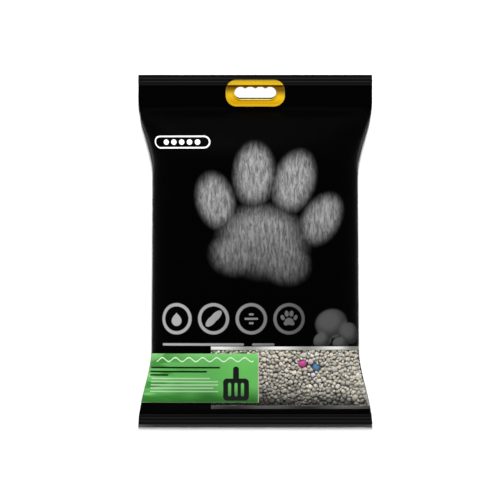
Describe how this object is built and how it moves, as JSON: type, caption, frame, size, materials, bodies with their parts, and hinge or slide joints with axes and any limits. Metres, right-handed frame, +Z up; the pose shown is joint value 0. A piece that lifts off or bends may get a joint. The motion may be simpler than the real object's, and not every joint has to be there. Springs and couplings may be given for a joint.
{
  "type": "cat litter bag",
  "caption": "Sealed pillow bag of granular litter with a clear window, a green label and a moulded carrying handle in its top flap.",
  "frame": {"origin": "on the ground, under the centre of the bag as it lies on its back", "axes": "+X across the bag, +Y along the bag towards the handle, +Z up, out of the front of the bag"},
  "size_m": [0.292, 0.437, 0.0717],
  "materials": {
    "black_film": "black printed laminated film with a satin sheen",
    "clear_film": "clear glossy plastic film",
    "litter": "dry pale grey clay granules",
    "label": "green printed plastic label with a soft gloss",
    "handle": "yellow moulded polypropylene"
  },
  "bodies": {
    "root": {"bag_film": "black_film", "window_film": "clear_film", "litter": "litter", "label": "label", "handle_front": "handle", "handle_back": "handle"}
  },
  "joints": []
}
